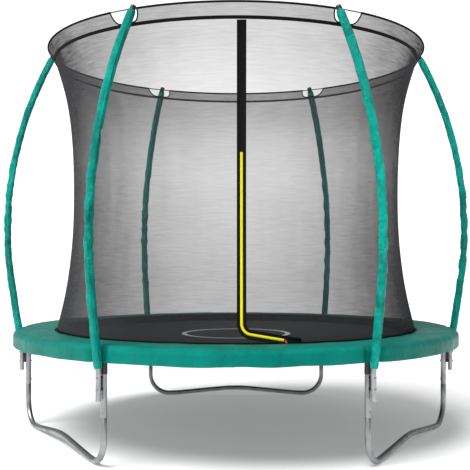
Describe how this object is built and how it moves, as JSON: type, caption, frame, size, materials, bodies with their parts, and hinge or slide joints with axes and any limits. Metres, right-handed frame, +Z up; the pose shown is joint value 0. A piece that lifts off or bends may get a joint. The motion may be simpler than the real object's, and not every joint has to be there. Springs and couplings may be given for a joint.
{
  "type": "backyard trampoline",
  "caption": "Round garden trampoline on bent-tube legs, with a spring pad, curved padded poles and a net enclosure with a zipped door.",
  "frame": {"origin": "on the floor under the centre of the jump mat", "axes": "+Z up; the zipped door faces -Y; +X is to the right of someone who looks at the door"},
  "size_m": [2.6804, 2.4856, 2.1421],
  "materials": {
    "galvanised_steel": "zinc-coated tube, satin",
    "pole_steel": "zinc-coated tube, satin",
    "black_plastic": "moulded, fine matt grain",
    "sleeve_vinyl": "glossy vinyl-coated cloth over foam",
    "net_mesh": "knitted black netting",
    "webbing": "woven black webbing",
    "mat_weave": "woven black polypropylene sheet",
    "spring_steel": "bright zinc wire",
    "pad_vinyl": "glossy vinyl-coated cloth over foam",
    "fibreglass": "pulled glass-fibre rod, black",
    "zip_tape": "woven zip tape with moulded teeth",
    "red_pull": "moulded tab"
  },
  "bodies": {
    "frame": {"door_strip": "webbing", "frame_rail_back_left": "galvanised_steel", "frame_rail_back_right": "galvanised_steel", "frame_rail_front_left": "galvanised_steel", "frame_rail_front_right": "galvanised_steel", "frame_rail_left": "galvanised_steel", "frame_rail_right": "galvanised_steel", "leg_base_back": "galvanised_steel", "leg_base_left": "galvanised_steel", "leg_base_right": "galvanised_steel", "leg_post_back_left": "galvanised_steel", "leg_post_back_right": "galvanised_steel", "leg_post_front_left": "galvanised_steel", "leg_post_front_right": "galvanised_steel", "leg_post_left": "galvanised_steel", "leg_post_right": "galvanised_steel", "net_strap": "webbing", "net_top_band": "net_mesh", "net_wall": "net_mesh", "pole_cap_back_left": "black_plastic", "pole_cap_back_right": "black_plastic", "pole_cap_front_left": "black_plastic", "pole_cap_front_right": "black_plastic", "pole_cap_left": "black_plastic", "pole_cap_right": "black_plastic", "pole_clamp_back_left": "black_plastic", "pole_clamp_back_right": "black_plastic", "pole_clamp_front_left": "black_plastic", "pole_clamp_front_right": "black_plastic", "pole_clamp_left": "black_plastic", "pole_clamp_right": "black_plastic", "pole_lower_back_left": "pole_steel", "pole_lower_back_right": "pole_steel", "pole_lower_front_left": "pole_steel", "pole_lower_front_right": "pole_steel", "pole_lower_left": "pole_steel", "pole_lower_right": "pole_steel", "pole_sleeve_back_left": "sleeve_vinyl", "pole_sleeve_back_right": "sleeve_vinyl", "pole_sleeve_front_left": "sleeve_vinyl", "pole_sleeve_front_right": "sleeve_vinyl", "pole_sleeve_left": "sleeve_vinyl", "pole_sleeve_right": "sleeve_vinyl", "pole_upper_back_left": "pole_steel", "pole_upper_back_right": "pole_steel", "pole_upper_front_left": "pole_steel", "pole_upper_front_right": "pole_steel", "pole_upper_left": "pole_steel", "pole_upper_right": "pole_steel", "spring_pad": "pad_vinyl", "spring_set": "spring_steel", "top_ring": "fibreglass", "zip_tape": "zip_tape"},
    "mat": {"jump_mat": "mat_weave", "mat_edge": "webbing"},
    "slider": {"zip_slider": "black_plastic"},
    "pull": {"zip_pull": "red_pull"}
  },
  "joints": [
    {"name": "mat_bounce", "type": "slide", "parent": "frame", "child": "mat", "axis": [0, 0, 1], "range_m": [-0.25, 0], "stiffness_N_per_m": 5000, "deforming": ["spring_set"]},
    {"name": "zip_run", "type": "hinge", "parent": "frame", "child": "slider", "pos_m": [0, 0, 0.3434], "axis": [0.1736, 0, 0.9848], "range_deg": [-8.4, 0]},
    {"name": "pull_swing", "type": "hinge", "parent": "slider", "child": "pull", "pos_m": [0.2283, -0.9968, 0.58335], "axis": [-0.9748, -0.2233, 0], "range_deg": [0, 100]}
  ]
}
